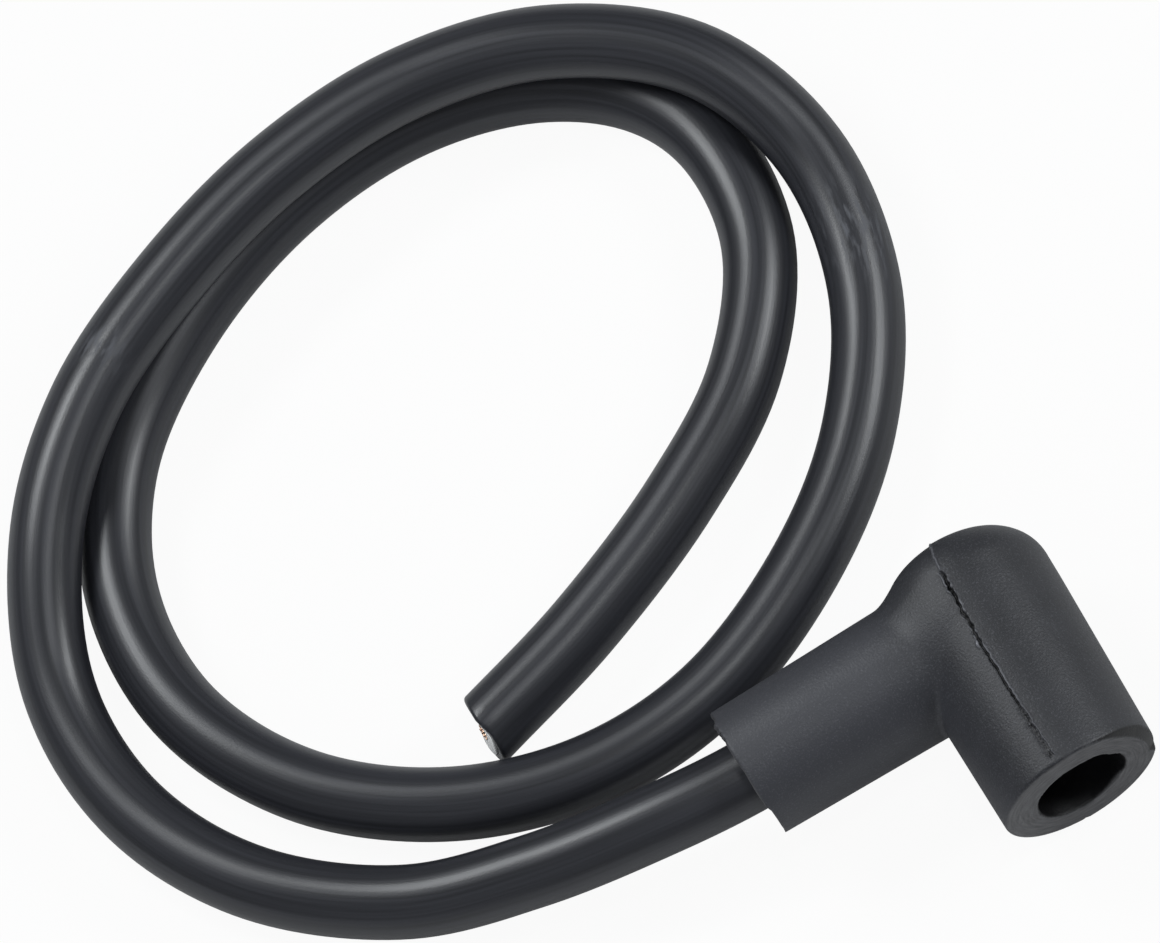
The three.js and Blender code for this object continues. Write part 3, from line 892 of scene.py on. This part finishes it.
# The boot's colour follows random clouds of tone together with the tube's painted light.
tone = add_node(tree, "ValToRGB", links={"Fac": clouds_and_painted_light.outputs[0]},
                stops=((0.2, "#1e1f23"), (1, "#34353a")))
sheen = add_node(tree, "MapRange", {"To Min": 0.46, "To Max": 0.56}, {"Value": clouds.outputs["Fac"]})
dust = add_node(tree, "TexNoise", {"Scale": 1 / DUST_SIZE, "Detail": 2.0},
                {"Vector": place.outputs["Object"]})
specks = add_node(tree, "MapRange", {"From Min": 0.54, "From Max": 0.78, "To Max": 0.5},
                  {"Value": dust.outputs["Fac"]})
dusty_tone = add_node(tree, "MixRGB", {"Color2": colour("#55565c")},
                      {"Fac": specks.outputs["Result"], "Color1": tone.outputs["Color"]})
trimmed = add_node(tree, "Attribute", attribute_name="trimmed")
turned_place = add_node(tree, "Attribute", attribute_name="turned")
ring_place = add_node(tree, "Mapping", {"Scale": (1 / RING_WIDTH, 1 / RING_LENGTH, 0)},
                      {"Vector": turned_place.outputs["Vector"]})
rings = add_node(tree, "TexNoise", {"Scale": 1.0, "Detail": 4.0}, {"Vector": ring_place.outputs["Vector"]})
ring_tone = add_node(tree, "ValToRGB", links={"Fac": rings.outputs["Fac"]},
                     stops=((0.3, "#303032"), (0.7, "#58585b")))
skin_tone = add_node(tree, "MixRGB", links={"Fac": trimmed.outputs["Fac"],
                                            "Color1": dusty_tone.outputs["Color"],
                                            "Color2": ring_tone.outputs["Color"]})
# Painted shade: the knife's bevel on the open end's rim is painted near black.
pared = add_node(tree, "Attribute", attribute_name="pared")
bevel_painted_shade = add_node(tree, "MixRGB", {"Color2": colour("#0c0c0d")},
                      {"Fac": pared.outputs["Fac"], "Color1": skin_tone.outputs["Color"]})
# Painted shade: the inside of the plug's bore is painted near black.
cored = add_node(tree, "Attribute", attribute_name="cored")
bore_painted_shade = add_node(tree, "MixRGB", {"Color2": colour("#0d0d0f")},
                      {"Fac": cored.outputs["Fac"], "Color1": bevel_painted_shade.outputs["Color"]})
torn = add_node(tree, "Attribute", attribute_name="torn")
# Painted shade: where the parting line sinks into a groove, it is painted near black.
groove_shade_share = add_node(tree, "Math", {1: GROOVE_PAINTED_SHADE}, {0: torn.outputs["Fac"]},
                operation="MULTIPLY", use_clamp=True)
groove_painted_shade = add_node(tree, "MixRGB", {"Color2": colour("#0a0a0b")},
                       {"Fac": groove_shade_share.outputs[0], "Color1": bore_painted_shade.outputs["Color"]})
# Painted highlight: where the parting line stands proud, its ridges are painted pale.
proud = add_node(tree, "Math", {1: RIDGE_PAINTED_HIGHLIGHT}, {0: torn.outputs["Fac"]},
                 operation="MULTIPLY", use_clamp=True)
ridge_painted_highlight = add_node(tree, "MixRGB", {"Color2": colour("#75767c")},
                      {"Fac": proud.outputs[0], "Color1": groove_painted_shade.outputs["Color"]})
rough_face = add_node(tree, "Math", links={0: trimmed.outputs["Fac"], 1: rings.outputs["Fac"],
                                           2: grain.outputs["Fac"]}, operation="MULTIPLY_ADD")
bump = add_node(tree, "Bump", {"Strength": 0.7, "Distance": 0.05 * MM}, {"Height": rough_face.outputs[0]})
tree.links.new(ridge_painted_highlight.outputs["Color"], surface.inputs["Base Color"])
tree.links.new(sheen.outputs["Result"], surface.inputs["Roughness"])
tree.links.new(bump.outputs["Normal"], surface.inputs["Normal"])
wear(boot, boot_rubber)

# %% [markdown]
# ### White insulation, copper and tinned steel
# The insulation is soft white silicone, which is satin and a little uneven where it was cut. The strands
# are bright copper, freshly cut. The terminal is stamped from thin steel with a dull tin plate, which the
# press tool brushed a little lengthwise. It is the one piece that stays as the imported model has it.

# %% Insulation material
MOTTLE_SIZE = 0.4 * MM

silicone, tree, surface = new_material("white_silicone")
place = add_node(tree, "TexCoord")
mottle = add_node(tree, "TexNoise", {"Scale": 1 / MOTTLE_SIZE, "Detail": 3.0},
                  {"Vector": place.outputs["Object"]})
tone = add_node(tree, "ValToRGB", links={"Fac": mottle.outputs["Fac"]},
                stops=((0, "#f2f3f3"), (1, "#fdfdfc")))
bump = add_node(tree, "Bump", {"Strength": 0.3, "Distance": 0.02 * MM}, {"Height": mottle.outputs["Fac"]})
tree.links.new(tone.outputs["Color"], surface.inputs["Base Color"])
tree.links.new(bump.outputs["Normal"], surface.inputs["Normal"])
surface.inputs["Roughness"].default_value = 0.45
wear(insulation, silicone)

# %% Copper material
TARNISH_SIZE = 0.3 * MM

copper, tree, surface = new_material("bright_copper")
place = add_node(tree, "TexCoord")
tarnish = add_node(tree, "TexNoise", {"Scale": 1 / TARNISH_SIZE, "Detail": 3.0},
                   {"Vector": place.outputs["Object"]})
tone = add_node(tree, "ValToRGB", links={"Fac": tarnish.outputs["Fac"]},
                stops=((0, "#80624f"), (1, "#c8ab95")))
tree.links.new(tone.outputs["Color"], surface.inputs["Base Color"])
surface.inputs["Metallic"].default_value = 1
surface.inputs["Roughness"].default_value = 0.3
wear(strands, copper)

# %% Terminal material
BRUSH_LENGTH = 3 * MM
BRUSH_WIDTH = 0.1 * MM

tinned_steel, tree, surface = new_material("tinned_stamped_steel")
place = add_node(tree, "TexCoord")
brushed_place = add_node(tree, "Mapping", {"Scale": (1 / BRUSH_LENGTH, 1 / BRUSH_WIDTH, 1 / BRUSH_WIDTH)},
                         {"Vector": place.outputs["Object"]})
brushing = add_node(tree, "TexNoise", {"Scale": 1.0, "Detail": 3.0},
                    {"Vector": brushed_place.outputs["Vector"]})
tone = add_node(tree, "ValToRGB", links={"Fac": brushing.outputs["Fac"]},
                stops=((0, "#9c9890"), (1, "#c2beb5")))
bump = add_node(tree, "Bump", {"Strength": 0.3, "Distance": 0.01 * MM}, {"Height": brushing.outputs["Fac"]})
tree.links.new(tone.outputs["Color"], surface.inputs["Base Color"])
tree.links.new(bump.outputs["Normal"], surface.inputs["Normal"])
surface.inputs["Metallic"].default_value = 1
surface.inputs["Roughness"].default_value = 0.35
wear(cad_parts["plug_terminal"], tinned_steel)
print("materials:", [made.name for made in bpy.data.materials])

# %% [markdown]
# ## Floor, background and light
# Catalogue pictures of black rubber are lit from the sides, on a white table: two long boxes draw soft
# bright lines along the cable and the boot, and a small lamp overhead adds a faint third. A wide card in
# front fills in the rest and shows no highlight of its own. The table glows for the camera alone, and a
# little in reflections, so that it looks near white without lighting the lead. It keeps a soft shadow.

# %% White floor
FLOOR_SIZE = 3.0
FLOOR_GLOW = 0.94
REFLECTED_GLOW = 0.05

bpy.ops.object.select_all(action="DESELECT")
bpy.ops.mesh.primitive_plane_add(size=FLOOR_SIZE, location=(0, 0, 0))
floor = bpy.context.object
floor.name = "floor"
paper, tree, surface = new_material("white_table")
tree.nodes.remove(surface)
path = add_node(tree, "LightPath")
direct = add_node(tree, "Math", links={0: path.outputs["Is Camera Ray"],
                                       1: path.outputs["Is Transmission Ray"]}, operation="MAXIMUM")
direct_glow = add_node(tree, "Math", {1: FLOOR_GLOW}, {0: direct.outputs[0]}, operation="MULTIPLY")
glow = add_node(tree, "Math", {1: REFLECTED_GLOW}, {0: path.outputs["Is Glossy Ray"],
                                                    2: direct_glow.outputs[0]}, operation="MULTIPLY_ADD")
matte = add_node(tree, "BsdfDiffuse", {"Color": colour("#cccccc")})
bright = add_node(tree, "Emission", {"Color": (1, 1, 1, 1), "Strength": 1.0})
mixed = add_node(tree, "MixShader", links={0: glow.outputs[0], 1: matte.outputs[0], 2: bright.outputs[0]})
tree.links.new(mixed.outputs[0], tree.nodes["Material Output"].inputs["Surface"])
wear(floor, paper)
print("floor", FLOOR_SIZE, "metres across")

# %% Room light
ROOM_TINT = (0.97, 0.985, 1, 1)
ROOM_LIGHT = 0.13

world = bpy.data.worlds.new("studio")
bpy.context.scene.world = world
world.use_nodes = True
room = world.node_tree.nodes["Background"]
room.inputs["Color"].default_value = ROOM_TINT
room.inputs["Strength"].default_value = ROOM_LIGHT
print("room light", ROOM_LIGHT)

# %% [markdown]
# ### The lamps
# Each lamp is written down by the way to it from the middle of the coil and the way its length runs,
# both along the picture's right, up and out, then by its length and width in metres and its watts. The
# lamps themselves stay out of the picture, and the card stays out of reflections too.

# %% Four lamps
LAMP_TINT = (0.95, 0.98, 1)
LAMPS = {
    "left_strip": ((-0.7, 0.5, 0.51), (0.6, 0.8, 0), (0.2, 0.09), 1.15),
    "right_strip": ((0.6, 0.54, 0.59), (-0.63, 0.77, 0), (0.2, 0.11), 1.05),
    "top_box": ((0.06, 0.28, 0.96), (1, 0, 0), (0.075, 0.075), 0.3),
    "front_card": ((-0.35, -0.62, 0.7), (1, 0, 0), (0.5, 0.5), 0.95),
}
LAMP_DISTANCE = 0.45
coil_middle = elbow + PICTURE_CENTRE

for name, (direction, length_way, (length, width), power) in LAMPS.items():
    light = bpy.data.lights.new(name, "AREA")
    light.shape = "RECTANGLE"
    light.size = length
    light.size_y = width
    light.energy = power
    light.color = LAMP_TINT
    lamp = bpy.data.objects.new(name, light)
    bpy.context.scene.collection.objects.link(lamp)
    towards = (picture_turn @ Vector(direction)).normalized()
    short_way = towards.cross(picture_turn @ Vector(length_way)).normalized()
    turn = Matrix((short_way.cross(towards), short_way, towards)).transposed()
    lamp.matrix_world = Matrix.Translation(coil_middle + towards * LAMP_DISTANCE) @ turn.to_4x4()
    lamp.visible_camera = False
    lamp.visible_glossy = name != "front_card"
bpy.context.scene.view_settings.view_transform = "Standard"
print("lamps:", list(LAMPS))
